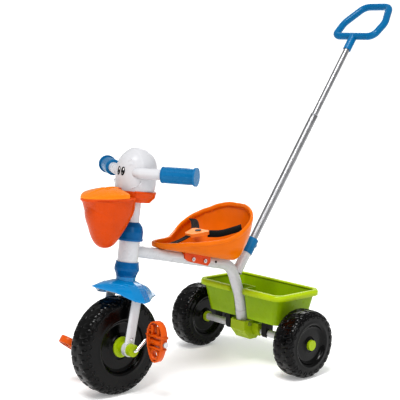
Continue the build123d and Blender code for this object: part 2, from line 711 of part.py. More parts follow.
def push_handle():
    base = Vector(*rod_point(handle_base))
    lean = radians(handle_lean)
    loop_plane = Plane(origin=base, x_dir=(1, 0, 0), z_dir=(0, -cos(lean), sin(lean)))
    wide = handle_half_width
    flat = [(0, 0), (wide - 2, 0), (wide + 2, 62), (wide * 0.62, handle_length), (0, handle_length)]
    path = FilletPolyline(*[loop_plane.from_local_coords(Vector(x, t, 0)) for x, t in flat], radius=[22, 60, 28])
    half = sweep(Plane(origin=base, z_dir=(1, 0, 0)) * Circle(handle_radius), path=path)
    neck = rod_between(rod_point(handle_neck_start), rod_point(handle_base), 11.5)
    handle = half + mirrored_x(half) + neck
    return handle - rod_between(rod_point(handle_neck_start - 5), rod_point(handle_base - 15.8), upper_rod_radius + 0.02)


# ---- rear axle, bracket, wheels ----
def bracket_bolt_place():
    return (-27.0, 109.0)


def rear_parts():
    z = rear_wheel_radius
    inner_face = rear_wheel_x - rear_wheel_width / 2
    collar_outer = inner_face + 6.2
    tube_end = collar_outer - 1.5
    pieces["axle_tube"] = x_tube(-tube_end, tube_end, 0, z, axle_tube_radius, axle_tube_radius - axle_tube_wall)
    collar = x_tube(collar_outer - axle_collar_width, collar_outer, 0, z, axle_collar_radius, axle_rod_radius + 0.1)
    collar -= x_rod(0, tube_end + 0.05, 0, z, axle_tube_radius + 0.05)
    add_pair("axle_collar", collar)
    hub_half = 27.0
    bore = 9.0
    tyre = wheel(rear_wheel_radius, rear_wheel_width, bore, 53, hub_half - 1, 16, 0.92)
    place = Pos(rear_wheel_x, 0, z) * wheel_turn
    add_pair("rear_wheel", place * tyre)
    hub_inner = collar_outer + soft_gap
    hub_outer = rear_wheel_x + hub_half
    hub = x_tube(hub_inner, hub_outer, 0, z, bore - 0.1, axle_rod_radius + running)
    hub += x_tube(hub_outer - 1 + 0.05, hub_outer, 0, z, 14, axle_rod_radius + running)
    add_pair("rear_hub", hub)
    washer_in = hub_outer + 0.2
    washers = [x_tube(side * washer_in, side * (washer_in + 0.8), 0, z, 9, axle_rod_radius + 0.02) for side in (-1, 1)]
    pieces["rear_washers"] = together(washers)
    cap_in = washer_in + 0.9
    rod_end = cap_in + 3.0
    pieces["axle_rod"] = x_rod(-rod_end, rod_end, 0, z, axle_rod_radius)
    cap = x_rod(cap_in, cap_in + 5.2, 0, z, 13.5) - x_rod(0, rod_end + 0.05, 0, z, axle_rod_radius + 0.02)
    add_pair("rear_wheel_cap", cap)
    bracket_parts(z)


def bracket_parts(axle_z):
    half = bracket_half_width
    points = [(-45, 117.5), (11, 117.5), (16, 110), (16, 80), (4, 66), (-22, 66), (-45, 92)]
    body = extrude(make_face(Polyline([(0, y, z) for y, z in points], close=True)), half, dir=(1, 0, 0), both=True)
    wing = [(-17, 112), (9, 112), (14, 104), (14, 82), (-10, 78), (-17, 92)]
    body += extrude(make_face(Polyline([(0, y, z) for y, z in wing], close=True)), half + 24, dir=(1, 0, 0), both=True)
    body -= x_rod(-100, 100, 0, axle_z, axle_tube_radius + 0.05)
    start = Vector(0, *frame_knee)
    end = Vector(0, *down_tube_end)
    along = (end - start).normalized()
    body -= rod_between(start, end + along * 0.1, frame_tube_radius + 0.1)
    bolt_y, bolt_z = bracket_bolt_place()
    body -= x_rod(-40, 40, bolt_y, bolt_z, 3.05)
    pieces["axle_bracket"] = body
    bolt = x_rod(-half - 5, half + 1, bolt_y, bolt_z, 3.0) + x_rod(half + 0.05, half + 4, bolt_y, bolt_z, 5.5)
    pieces["bracket_bolt"] = bolt
    nut_plane = Plane(origin=(-half - 0.05, bolt_y, bolt_z), z_dir=(-1, 0, 0))
    nut = extrude(nut_plane * RegularPolygon(5.6, 6), 4.0)
    pieces["bracket_nut"] = nut - x_rod(-half - 10, -half + 2, bolt_y, bolt_z, 3.02)


# ---- tub ----
def tub_outline(height, inset, corner):
    width = 2 * (tub_half_width - inset)
    length = tub_rear_y - tub_front_y - 2 * inset
    centre_y = (tub_rear_y + tub_front_y) / 2
    return Pos(0, centre_y, height) * RectangleRounded(width, length, corner)


def tub_body(inset, floor):
    rim_inset = 5.0
    top = loft([tub_outline(floor, rim_inset + tub_taper + inset, 20), tub_outline(tub_top_z, rim_inset + inset, 22)])
    return top


def tube_channel(spread):
    """Room for the down tube in the middle of the tub's front wall."""
    return box_between((-22 - spread, tub_front_y - 30, tub_floor_z - 30), (22 + spread, -6 + spread, tub_top_z + 20))


def tub_parts():
    inner = tub_body(tub_wall, tub_floor_z + tub_wall) - tube_channel(tub_wall)
    inner += extrude(tub_outline(tub_top_z - 0.1, 5.0 + tub_wall, 20), 5) - tube_channel(tub_wall)
    rim = extrude(tub_outline(tub_top_z - tub_rim_height, 0, 26), tub_rim_height)
    rim -= extrude(tub_outline(tub_top_z - tub_rim_height, 2.4, 24), tub_rim_height - 2.4)
    tub = tub_body(0, tub_floor_z) + rim - tube_channel(0) - inner
    pieces["tub"] = tub
    half = tub_clip_width / 2
    pivot_z = rear_wheel_radius
    clip = box_between((tub_clip_x - half, -14, pivot_z - 6), (tub_clip_x + half, 14, tub_floor_z))
    clip += x_rod(tub_clip_x - half, tub_clip_x + half, 0, pivot_z, 14)
    clip -= x_rod(0, 200, 0, pivot_z, axle_tube_radius + running)
    clip -= box_between((0, -8.6, pivot_z - 30), (200, 8.6, pivot_z - 3))
    add_pair("tub_clip", clip)


def build():
    front_wheel_parts()
    fork_parts()
    mudguard_parts()
    head_bushes()
    handlebar_parts()
    head_parts()
    basket_parts()
    frame_parts()
    saddle_parts()
    seat_parts()
    push_rod_parts()
    rear_parts()
    tub_parts()


def main():
    build()
    os.makedirs("parts", exist_ok=True)
    boxes = [part.bounding_box() for part in pieces.values()]
    front = min(box.min.Y for box in boxes)
    rear = max(box.max.Y for box in boxes)
    shift = -(front + rear) / 2
    for name, part in pieces.items():
        export_step(part.moved(Location((0, shift, 0))), "parts/" + name + ".step")
    print("shift along Y:", round(shift, 4), "pieces:", len(pieces))


main()
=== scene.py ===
import json
import math

import bpy
from mathutils import Matrix, Vector
from mathutils.bvhtree import BVHTree


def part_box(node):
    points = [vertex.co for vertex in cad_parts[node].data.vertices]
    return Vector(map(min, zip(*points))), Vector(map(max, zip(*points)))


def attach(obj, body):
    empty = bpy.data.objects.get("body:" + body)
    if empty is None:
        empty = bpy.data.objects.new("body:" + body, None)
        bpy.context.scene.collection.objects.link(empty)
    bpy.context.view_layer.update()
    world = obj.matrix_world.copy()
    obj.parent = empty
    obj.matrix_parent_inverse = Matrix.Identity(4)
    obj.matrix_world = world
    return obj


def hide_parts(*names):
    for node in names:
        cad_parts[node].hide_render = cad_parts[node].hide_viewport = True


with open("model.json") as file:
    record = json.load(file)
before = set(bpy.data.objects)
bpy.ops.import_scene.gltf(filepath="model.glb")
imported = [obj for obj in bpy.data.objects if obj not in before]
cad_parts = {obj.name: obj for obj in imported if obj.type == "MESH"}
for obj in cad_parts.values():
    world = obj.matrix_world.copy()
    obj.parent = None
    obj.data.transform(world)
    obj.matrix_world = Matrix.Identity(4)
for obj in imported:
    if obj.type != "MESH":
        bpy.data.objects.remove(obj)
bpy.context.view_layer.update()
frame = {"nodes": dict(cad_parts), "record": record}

MM = 0.001
nodes = frame["nodes"]

# ---- the model's driving places: millimetres, Y from the rear axle and Z from the floor ----
STEER_Y, STEER_Z, STEER_LEAN = -459, 120, 6
CRANK_Y, CRANK_Z = -470, 120
CRANK_THROW_Y, CRANK_THROW_Z = 32, 26
MAIN_TUBE_START, FRAME_BEND = (-425.0, 348.9), (-80.0, 274.6)
FRAME_KNEE, DOWN_TUBE_FOOT = (-43, 190), (-24.5, 104)
ROD_MOUTH, ROD_LEAN = (-22, 300), 35.05
GRIP_START_X, BAR_BEND_X, BAR_Y, BAR_Z, BAR_SWEEP = 91.5, 36, -441.8, 543, 28


# ---- places ----
def middle(node):
    """The centre of a CAD node's box."""
    low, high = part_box(node)
    return (low + high) / 2


AXLE_Y = middle("axle_rod").y


def at(x, y, z):
    """A point in metres, from millimetres with Y measured from the rear axle and Z from the floor."""
    return Vector((x * MM, y * MM + AXLE_Y, z * MM))


STEER = Matrix.Translation(at(0, STEER_Y, STEER_Z)) @ Matrix.Rotation(math.radians(-STEER_LEAN), 4, "X")


def steer(x, y, z):
    """A point in millimetres in the steering column's own frame."""
    return STEER @ (Vector((x, y, z)) * MM)


# ---- materials ----
def linear(channel):
    """An sRGB channel of 0 to 255 as a linear share."""
    value = channel / 255
    return value / 12.92 if value <= 0.04045 else ((value + 0.055) / 1.055) ** 2.4


def tint(red, green, blue):
    """A linear colour from sRGB channels of 0 to 255."""
    return [linear(c) for c in (red, green, blue)] + [1.0]


def shifted(colour, factor):
    """The colour made lighter or darker by a factor."""
    return [min(1.0, c * factor) for c in colour[:3]] + [1.0]


class Shader:
    """A material with a Principled surface and short helpers for its nodes."""

    def __init__(self, name, roughness, metallic=0.0, coat=0.0, coat_roughness=0.1, specular=0.5, sheen=0.0):
        self.material = bpy.data.materials.new(name)
        self.material.use_nodes = True
        self.tree = self.material.node_tree
        self.surface = self.tree.nodes["Principled BSDF"]
        values = {"Roughness": roughness, "Metallic": metallic, "Coat Weight": coat, "Coat Roughness": coat_roughness,
                  "Specular IOR Level": specular, "Sheen Weight": sheen}
        for socket, value in values.items():
            self.surface.inputs[socket].default_value = value
        self.place = self.tree.nodes.new("ShaderNodeTexCoord").outputs["Object"]

    def node(self, kind, inputs=None, **settings):
        made = self.tree.nodes.new("ShaderNode" + kind)
        for key, value in settings.items():
            setattr(made, key, value)
        for key, value in (inputs or {}).items():
            if isinstance(value, bpy.types.NodeSocket):
                self.tree.links.new(value, made.inputs[key])
            else:
                made.inputs[key].default_value = value
        return made

    def link(self, output, socket):
        self.tree.links.new(output, self.surface.inputs[socket])

    def noise(self, scale, detail, stretch=(1, 1, 1)):
        place = self.node("Mapping", {"Vector": self.place, "Scale": stretch}).outputs["Vector"]
        return self.node("TexNoise", {"Vector": place, "Scale": scale, "Detail": detail}).outputs["Fac"]

    def ranged(self, value, low, high, new_low, new_high):
        inputs = {"Value": value, "From Min": low, "From Max": high, "To Min": new_low, "To Max": new_high}
        return self.node("MapRange", inputs).outputs["Result"]

    def blend(self, factor, first, second):
        """Two colours mixed; a colour mix node keeps them in its sockets 6 and 7."""
        return self.node("Mix", {0: factor, 6: first, 7: second}, data_type="RGBA").outputs[2]

    def math(self, operation, first, second=0.0):
        return self.node("Math", {0: first, 1: second}, operation=operation).outputs[0]

    def bump(self, height, strength, distance, below=None):
        inputs = {"Height": height, "Strength": strength, "Distance": distance}
        if below is not None:
            inputs["Normal"] = below
        return self.node("Bump", inputs).outputs["Normal"]


def moulded(name, colour, roughness=0.3, edge=1.18, grain=0.06, coat=0.1, variation=0.05):
    """Injection-moulded plastic: slight cloudiness, a fine skin, rubbed edges and faint scuffs. The edge lightening
    is wear, and on the tub, with its raised edge factor, also a painted highlight.
    """
    shader = Shader(name, roughness, coat=coat, coat_roughness=0.18, specular=0.14)
    cloud = shader.ranged(shader.noise(22, 4), 0.3, 0.7, 0, 1)
    body = shader.blend(cloud, shifted(colour, 1 - variation), shifted(colour, 1 + variation))
    edges = shader.node("NewGeometry").outputs["Pointiness"]
    # lighter convex edges: wear, and where the edge factor is raised (the tub) a painted highlight
    rubbed_and_lit_edges = shader.ranged(edges, 0.515, 0.56, 0.0, 0.55)
    pale = shifted([c + 0.015 for c in colour[:3]], edge)
    shader.link(shader.blend(rubbed_and_lit_edges, body, pale), "Base Color")
    scuffs = shader.ranged(shader.noise(48, 6), 0.4, 0.75, roughness - 0.04, roughness + 0.10)
    shader.link(scuffs, "Roughness")
    skin = shader.bump(shader.noise(700, 2), grain, 0.0004)
    shader.link(shader.bump(shader.noise(9, 1), 0.05, 0.002, skin), "Normal")
    return shader.material


def painted(name, colour):
    """White powder coat over steel tube, with a fine orange peel and painted shade that greys the creases."""
    shader = Shader(name, 0.32, coat=0.4, coat_roughness=0.12)
    edges = shader.node("NewGeometry").outputs["Pointiness"]
    # painted shade: concave places, found by low pointiness, are mixed towards a darker grey
    crease = shader.ranged(edges, 0.38, 0.46, 0.5, 0.0)
    cloud = shader.ranged(shader.noise(14, 3), 0.3, 0.7, 0, 1)
    body = shader.blend(cloud, shifted(colour, 0.96), colour)
    shader.link(shader.blend(crease, body, shifted(colour, 0.62)), "Base Color")
    shader.link(shader.ranged(shader.noise(45, 4), 0.35, 0.7, 0.24, 0.38), "Roughness")
    shader.link(shader.bump(shader.noise(480, 2), 0.10, 0.0004), "Normal")
    return shader.material


def metal(name, colour, roughness, stretch=(1, 1, 1), scratch=0.2):
    """Drawn or plated steel with fine marks running one way."""
    shader = Shader(name, roughness, metallic=1.0, specular=0.5)
    lines = shader.noise(260, 5, stretch)
    shader.link(shader.blend(lines, shifted(colour, 0.86), colour), "Base Color")
    shader.link(shader.ranged(lines, 0.3, 0.7, roughness * 0.7, roughness * 1.5), "Roughness")
    shader.link(shader.bump(lines, scratch, 0.0002), "Normal")
    return shader.material


def rubbery(name, colour):
    """Satin black moulding of the wheels: soft gloss, dusty hollows and worn lug tops."""
    shader = Shader(name, 0.2, specular=0.24)
    dust = shader.ranged(shader.noise(35, 6), 0.45, 0.8, 0.0, 0.5)
    edges = shader.node("NewGeometry").outputs["Pointiness"]
    worn = shader.ranged(edges, 0.51, 0.57, 0.0, 0.8)
    body = shader.blend(dust, colour, shifted(colour, 2.0))
    shader.link(shader.blend(worn, body, tint(12, 12, 13)), "Base Color")
    shader.link(shader.ranged(shader.noise(18, 5), 0.3, 0.7, 0.13, 0.27), "Roughness")
    skin = shader.bump(shader.noise(900, 2), 0.12, 0.0003)
    shader.link(shader.bump(shader.noise(30, 2), 0.10, 0.001, skin), "Normal")
    return shader.material


def webbing(name, colour):
    """Woven polyester band: crossed ribs with a little sheen."""
    shader = Shader(name, 0.7, sheen=0.12, specular=0.12)
    ribs = []
    for axis in ("X", "Y"):
        wave = shader.node("TexWave", {"Vector": shader.place, "Scale": 320.0, "Distortion": 0.6, "Detail": 1.0},
                           bands_direction=axis)
        ribs.append(wave.outputs["Fac"])
    weave = shader.math("MULTIPLY", ribs[0], ribs[1])
    shader.link(shader.blend(weave, shifted(colour, 0.6), shifted(colour, 2.4)), "Base Color")
    shader.link(shader.bump(weave, 0.5, 0.0006), "Normal")
    return shader.material


ORANGE = moulded("Bucket orange", tint(222, 112, 0), 0.32)
DEEP_ORANGE = moulded("Deep orange", tint(204, 74, 0), 0.28)
LID_ORANGE = moulded("Beak lid orange", tint(230, 128, 0), 0.26)
PEDAL_ORANGE = moulded("Pedal orange", tint(202, 84, 0), 0.34)
PEACH = moulded("Shield peach", tint(246, 136, 52), 0.42, coat=0.1)
BLUE = moulded("Blue", tint(0, 103, 152), 0.30)
COLLAR_BLUE = moulded("Collar blue", tint(0, 92, 146), 0.24)
SKY_BLUE = moulded("Mudguard blue", tint(0, 126, 184), 0.16, coat=0.7)
LIME = moulded("Lime", tint(150, 172, 0), 0.30)
# the tub's raised edge factor of 1.4 paints a highlight on its edges
TUB_LIME = moulded("Tub lime", tint(140, 172, 0), 0.30, edge=1.4)
# painted highlight: the rim's lime is a lighter copy of the tub's, standing in for the light on the rim's top
LIT_RIM_LIME = moulded("Tub rim lime painted highlight", tint(172, 196, 14), 0.30)
WHITE = moulded("Head white", tint(202, 202, 205), 0.28, edge=1.05, variation=0.02)
BUSH_WHITE = moulded("Bush white", tint(205, 206, 208), 0.45, coat=0.0)
BLACK = moulded("Black plastic", tint(5, 5, 6), 0.34, edge=1.5, coat=0.05)
EYE_BLACK = moulded("Eye black", tint(8, 8, 9), 0.12, coat=0.8)
EYE_WHITE = moulded("Eye highlight", tint(245, 245, 245), 0.2)
GREY = moulded("Rod bush grey", tint(150, 152, 156), 0.4, coat=0.0)
TYRE = rubbery("Wheel black", tint(3, 3, 3))
PAINT = painted("White paint", tint(205, 206, 209))
WEB = webbing("Black webbing", tint(7, 7, 8))
ZINC = metal("Zinc plate", (0.62, 0.62, 0.64, 1), 0.28, scratch=0.1)
CHROME = metal("Crank chrome", (0.78, 0.78, 0.8, 1), 0.16, (6, 1, 1), 0.08)
POLISHED = metal("Polished tube", (0.36, 0.36, 0.37, 1), 0.34, (1, 0.3, 0.2), 0.015)
# painted shade: a dark metal for the crosses that stand in for the shade inside the screws' recesses
SCREW_RECESS_SHADE = metal("Screw recess painted shade", (0.12, 0.12, 0.13, 1), 0.5)

finishes = {
    "white_paint": PAINT, "white_plastic": WHITE, "white_bush": BUSH_WHITE, "blue_plastic": BLUE,
    "light_blue_plastic": SKY_BLUE, "orange_seat": ORANGE, "deep_orange": DEEP_ORANGE, "orange_lid": LID_ORANGE,
    "orange_pedal": PEDAL_ORANGE, "peach_plastic": PEACH, "black_webbing": WEB, "black_plastic": BLACK,
    "eye_print": EYE_BLACK, "lime_plastic": LIME, "lime_tub": TUB_LIME, "zinc_steel": ZINC, "chrome_rod": CHROME,
    "polished_tube": POLISHED, "grey_bush": GREY,
}


def finish(piece, material):
    """Give a CAD node one material."""
    piece.data.materials.clear()
    piece.data.materials.append(material)


for row in frame["record"]["subparts"]:
    finish(nodes[row["node"]], finishes[row["material_slot"]])
for name in ("lower_collar", "upper_collar"):
    finish(nodes[name], COLLAR_BLUE)


# ---- mesh helpers ----
def add_piece(name, points, faces, material, body, slot, replaced=()):
    """A mesh that rides on a body and may replace CAD nodes."""
    mesh = bpy.data.meshes.new(name)
    mesh.from_pydata([tuple(p) for p in points], [], faces)
    mesh.validate()
    mesh.update()
    for polygon in mesh.polygons:
        polygon.use_smooth = True
    piece = bpy.data.objects.new(name, mesh)
    bpy.context.scene.collection.objects.link(piece)
    mesh.materials.append(material)
    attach(piece, body)
    if replaced:
        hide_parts(*replaced)
    return piece


def pointing(place, along):
    """A frame at the place whose Z axis runs along the direction."""
    return Matrix.Translation(place) @ along.to_track_quat("Z", "Y").to_matrix().to_4x4()


class Build:
    """Collects points and faces of one mesh made of several closed shells."""

    def __init__(self):
        self.points = []
        self.faces = []

    def grid(self, rows, wrap_rows=False, wrap_columns=False, cap_ends=False):
        """Quads between rows of points. Rows may wrap round, and so may the points in a row."""
        base = len(self.points)
        count = len(rows[0])
        for row in rows:
            self.points.extend(row)
        row_total = len(rows) if wrap_rows else len(rows) - 1
        column_total = count if wrap_columns else count - 1
        for i in range(row_total):
            for j in range(column_total):
                a = base + i * count + j
                b = base + i * count + (j + 1) % count
                c = base + (i + 1) % len(rows) * count + (j + 1) % count
                d = base + (i + 1) % len(rows) * count + j
                self.faces.append((a, b, c, d))
        if cap_ends:
            self.faces.append(tuple(base + j for j in reversed(range(count))))
            last = base + (len(rows) - 1) * count
            self.faces.append(tuple(last + j for j in range(count)))

    def turn(self, profile, place, steps):
        """Closed ring turned round the place's Z axis; profile is (radius, height) pairs in millimetres."""
        rows = []
        for i in range(steps):
            angle = 2 * math.pi * i / steps
            rows.append([place @ (Vector((r * math.cos(angle), r * math.sin(angle), z)) * MM) for r, z in profile])
        self.grid(rows, wrap_rows=True, wrap_columns=True)

    def tube(self, path, radius, sides):
        """Round bar along path points, in metres. radius gives millimetres at each share of its length."""
        rows = []
        last = len(path) - 1
        normal = None
        for i, point in enumerate(path):
            along = (path[min(i + 1, last)] - path[max(i - 1, 0)]).normalized()
            if normal is None:
                normal = along.orthogonal().normalized()
            normal = (normal - along * normal.dot(along)).normalized()
            side = along.cross(normal)
            size = radius(i / last)
            ring = []
            for k in range(sides):
                angle = 2 * math.pi * k / sides
                ring.append(point + (normal * math.cos(angle) + side * math.sin(angle)) * size * MM)
            rows.append(ring)
        self.grid(rows, wrap_columns=True, cap_ends=True)

    def piece(self, name, *rest, **more):
        return add_piece(name, self.points, self.faces, *rest, **more)


def eased(p0, p1, p2, p3, t):
    """Catmull-Rom value between p1 and p2."""
    return 0.5 * (2 * p1 + (p2 - p0) * t + (2 * p0 - 5 * p1 + 4 * p2 - p3) * t * t
                  + (3 * p1 - p0 - 3 * p2 + p3) * t * t * t)


def smooth_path(points, count):
    """Smooth line through the points."""
    padded = [2 * points[0] - points[1], *points, 2 * points[-1] - points[-2]]
    line = []
    spans = len(points) - 1
    for step in range(count):
        where = step / (count - 1) * spans
        index = min(int(where), spans - 1)
        line.append(eased(*padded[index:index + 4], where - index))
    return line


def tapered(least, most, end=0.02):
    """A radius that swells from least by most in the middle, for Build.tube."""
    return lambda t: least + most * math.sin(math.pi * min(max(t, end), 1 - end))


# ---- wheels ----
LUG_HEIGHT = 1.5
RING_HEIGHT = 1.4
BURIED = -0.6
RING_OUTER, RING_INNER = 6.2, 3.8
RING_STATION = 0.86
OUTER_BLOCK_HALF, OUTER_BLOCK_LEAN = 6.6, 3.0
INNER_BLOCK_HALF, INNER_BLOCK_LEAN = 7.4, 6.0


class Skin:
    """The outer surface of a turned wheel: where a point lies at an angle, a place along the profile and a height."""

    def __init__(self, profile, place):
        self.profile = [Vector(p) for p in profile]
        self.place = place
        self.reach = [0.0]
        for a, b in zip(self.profile[:-1], self.profile[1:]):
            self.reach.append(self.reach[-1] + (b - a).length)

    def length(self):
        return self.reach[-1]

    def flat(self, v):
        v = min(max(v, 0.0), self.length() - 1e-6)
        index = max(i for i, r in enumerate(self.reach[:-1]) if r <= v)
        a, b = self.profile[index], self.profile[index + 1]
        share = (v - self.reach[index]) / (b - a).length
        return a.lerp(b, share)

    def point(self, angle, v, height):
        here = self.flat(v)
        along = (self.flat(v + 1.5) - self.flat(v - 1.5)).normalized()
        out = here + Vector((-along.y, along.x)) * height
        return self.place @ (Vector((out.x * math.cos(angle), out.x * math.sin(angle), out.y)) * MM)


def rounded(points, steps=6):
    """The profile with its corners eased."""
    line = []
    for before, here, after in zip([points[0]] + points[:-1], points, points[1:] + [points[-1]]):
        a, b, c = Vector(before), Vector(here), Vector(after)
        if a == b or b == c:
            line.append(b)
            continue
        cut = min((b - a).length, (c - b).length) * 0.42
        start, end = b + (a - b).normalized() * cut, b + (c - b).normalized() * cut
        for i in range(steps + 1):
            t = i / steps
            line.append(start * (1 - t) ** 2 + b * 2 * t * (1 - t) + end * t * t)
    return line


def ring_lug(build, skin, angle, v, radius, steps=24):
    """A raised ring on the shoulder."""
    outer, inner, height = RING_OUTER, RING_INNER, RING_HEIGHT
    rows = []
    for k in range(steps):
        turn = 2 * math.pi * k / steps
        row = []
        for size, lift in ((outer, BURIED), (outer, height * 0.5), (outer - 0.8, height), (inner + 0.8, height),
                           (inner, height * 0.5), (inner, BURIED)):
            row.append(skin.point(angle + size * math.cos(turn) / radius, v + size * math.sin(turn), lift))
        rows.append(row)
    build.grid(rows, wrap_rows=True, wrap_columns=True)


def block_lug(build, skin, angle, v0, v1, half, lean, radius, steps=7):
    """A raised slanting block from v0 to v1 across the tread, lower at its ends."""
    section = ((-1.0, BURIED), (-1.0, 0.45), (-0.8, 1.0), (0.8, 1.0), (1.0, 0.45), (1.0, BURIED))
    rows = []
    for i in range(steps):
        t = i / (steps - 1)
        end = 1.0 - 0.35 * abs(2 * t - 1) ** 4
        lift = LUG_HEIGHT if 0 < i < steps - 1 else LUG_HEIGHT * 0.35
        row = []
        for side, share in section:
            offset = side * half * end + lean * (t - 0.5)
            row.append(skin.point(angle + offset / radius, v0 + (v1 - v0) * t, lift * share if share > 0 else share))
        rows.append(row)
    build.grid(rows, wrap_columns=True, cap_ends=True)


def wheel_piece(node, radius, width, bore, recess, hub_face, boss, lugs):
    """The moulded wheel that replaces a plain CAD wheel: hub dish, bead, sidewall, rings and tread blocks."""
    place = Matrix.Translation(middle(node)) @ Matrix.Rotation(math.radians(90), 4, "Y")
    half = width / 2
    base, flank = radius - LUG_HEIGHT, half - LUG_HEIGHT
    shoulder = [(recess + 5, half - 0.8), (recess + 12, flank - 0.4), (base * 0.88, flank),
                (base * 0.955, flank - 5), (base - 0.6, half * 0.58), (base, half * 0.30)]
    side = [(bore, hub_face), (boss, hub_face), (boss + 5, hub_face - 4), (recess - 9, hub_face - 5),
            (recess - 3, hub_face - 1), (recess, half - 3.5)]
    full = side + shoulder + [(r, -z) for r, z in reversed(side + shoulder)]
    profile = rounded(full)
    build = Build()
    build.turn([tuple(p) for p in profile], place, 144)
    outer = rounded(shoulder + [(r, -z) for r, z in reversed(shoulder)])
    skin = Skin(outer, place)
    total = skin.length()
    middle_v = total / 2
    ring_v = next(skin.reach[i] for i, p in enumerate(skin.profile) if p.x > base * RING_STATION)
    half_step = math.pi / lugs
    for i in range(lugs):
        angle = 2 * math.pi * i / lugs
        for end, shift in ((1, 0.0), (-1, half_step)):
            v = ring_v if end > 0 else total - ring_v
            ring_lug(build, skin, angle + shift, v, base * 0.88)
            block_lug(build, skin, angle + shift + half_step, v + end * 6, v + end * 21, OUTER_BLOCK_HALF,
                      end * OUTER_BLOCK_LEAN, base)
            block_lug(build, skin, angle + shift, v + end * 12, middle_v - end * 2, INNER_BLOCK_HALF,
                      end * INNER_BLOCK_LEAN, base)
    return build.piece(node + "_tread", TYRE, node, "black_plastic", (node,))


wheel_piece("front_wheel", radius=120, width=65, bore=15.2, recess=66, hub_face=22, boss=28, lugs=29)
for side in ("left", "right"):
    wheel_piece("rear_wheel_" + side, radius=89, width=68, bore=9.0, recess=53, hub_face=26, boss=16, lugs=22)


# ---- head, eyes and beak ----
def surface_of(*names):
    """A ray-cast tree over several CAD nodes."""
    points, faces = [], []
    for name in names:
        mesh = nodes[name].data
        base = len(points)
        points.extend(v.co.copy() for v in mesh.vertices)
        faces.extend([base + i for i in p.vertices] for p in mesh.polygons)
    return BVHTree.FromPolygons(points, faces)


head_surface = surface_of("head_front_shell", "head_rear_shell")


def on_head(angle, height, lift=0.0):
    """A point on the head, at an angle from straight ahead towards the rider's left, in degrees."""
    turn = math.radians(angle)
    out = (STEER.to_3x3() @ Vector((math.sin(turn), -math.cos(turn), 0))).normalized()
    start = steer(0, 0, height) + out * 0.2
    hit = head_surface.ray_cast(start, -out)[0]
    return hit + out * lift * MM


def crease(name, stations, thickness):
    """A pair of soft ridges that follow the head on both sides of the face."""
    build = Build()
    for side in (-1, 1):
        path = smooth_path([on_head(side * a, z, 0.1) for a, z in stations], 25)
        build.tube(path, tapered(0.25, thickness), 10)
    return build.piece(name, WHITE, "steering", "white_plastic")


crease("brow_upper", [(20, 447), (25, 452.5), (31, 453.5), (41, 445)], 1.0)
crease("brow_lower", [(25, 436), (30, 441), (36, 442), (45, 434)], 0.9)
crease("cheek_line", [(66, 428), (67.5, 414), (64, 402), (54, 392), (42, 386), (24, 380)], 1.1)


def eye_highlights():
    build = Build()
    for side in (-1, 1):
        for angle, height, wide, tall in ((side * 8.7 + 1.8, 428.5, 1.6, 2.9), (side * 8.7 - 1.8, 418.5, 0.8, 1.2)):
            centre = on_head(angle, height, 0.75)
            up = (on_head(angle, height + 2) - on_head(angle, height - 2)).normalized()
            across = (on_head(angle + 2, height) - on_head(angle - 2, height)).normalized()
            out = across.cross(up).normalized()
            rows = []
            for share, lift in ((1.0, -0.3), (1.0, 0.2), (0.8, 0.42), (0.4, 0.5), (0.02, 0.52)):
                rows.append([centre + (across * wide * math.cos(k * math.pi / 10) * share
                                       + up * tall * math.sin(k * math.pi / 10) * share + out * lift) * MM
                             for k in range(20)])
            build.grid(rows, wrap_columns=True, cap_ends=True)
    return build.piece("eye_highlights", EYE_WHITE, "steering", "white_plastic")


eye_highlights()


def pouch_section(height, half_x, half_y, centre_y, power, lift):
    """One level of the pouch: an oval that grows squarer towards the rim."""
    ring = []
    for k in range(72):
        angle = 2 * math.pi * k / 72
        c, s = math.cos(angle), math.sin(angle)
        x = math.copysign(abs(c) ** (2 / power), c) * (half_x + lift)
        y = math.copysign(abs(s) ** (2 / power), s) * (half_y + lift)
        ring.append(at(x, centre_y + y, height))
    return ring


# each level: height, half width, half depth, centre in Y and the power that squares the oval
POUCH_LEVELS = [(364.5, 5, 4, -510, 2.0), (366.0, 12, 11, -510, 2.0), (369.5, 19, 17, -510, 2.0),
                (377.0, 27.5, 24.5, -509.5, 2.0), (392.0, 37, 33, -508, 2.1), (416.0, 46, 44, -503, 2.25),
                (447.0, 51.5, 56, -497, 2.5), (470.0, 53.5, 61, -498, 2.6), (480.0, 54.0, 63, -500, 2.6),
                (481.8, 55.2, 64, -500, 2.6)]
POUCH_SKIN = 1.8


def beak_pouch():
    """Fuller skin round the pouch, with a rolled lip under the rim."""
    levels = POUCH_LEVELS
    fine = []
    for share in range(41):
        where = share / 40 * (len(levels) - 1)
        index = min(int(where), len(levels) - 2)
        t = where - index
        before = levels[max(index - 1, 0)]
        a, b = levels[index], levels[index + 1]
        after = levels[min(index + 2, len(levels) - 1)]
        fine.append([eased(*four, t) for four in zip(before, a, b, after)])
    outer = [pouch_section(*values, 0.0) for values in fine]
    inner = [pouch_section(*values, -POUCH_SKIN) for values in reversed(fine)]
    build = Build()
    build.grid(outer + inner, wrap_columns=True, cap_ends=True)
    return build.piece("beak_pouch_skin", DEEP_ORANGE, "steering", "deep_orange")


beak_pouch()


def lid_details():
    """A low middle ridge and two nostril lines on the lid."""
    lid_surface = surface_of("basket_lid")

    def on_lid(x, y, lift):
        hit = lid_surface.ray_cast(at(x, y, 700), Vector((0, 0, -1)))[0]
        return hit + Vector((0, 0, lift * MM))

    build = Build()
    ridge = smooth_path([on_lid(0, y, -0.6) for y in (-486, -505, -530, -552, -568)], 24)
    build.tube(ridge, lambda t: 1.0 + 2.6 * (1 - t), 12)
    for side in (-1, 1):
        nostril = [on_lid(side * x, y, -0.2) for x, y in ((9, -500), (12, -507), (13, -516), (11, -524))]
        build.tube(smooth_path(nostril, 16), tapered(0.3, 1.2, 0.03), 10)
    return build.piece("lid_ridges", LID_ORANGE, "beak_lid", "orange_lid")


lid_details()


DISH_RADIUS, DISH_HEIGHT = 50.0, 376.0
LIP_HALF_WIDTH, LIP_HALF_HEIGHT = 3.0, 3.4
LIP_START, LIP_SWEEP = -40, 260


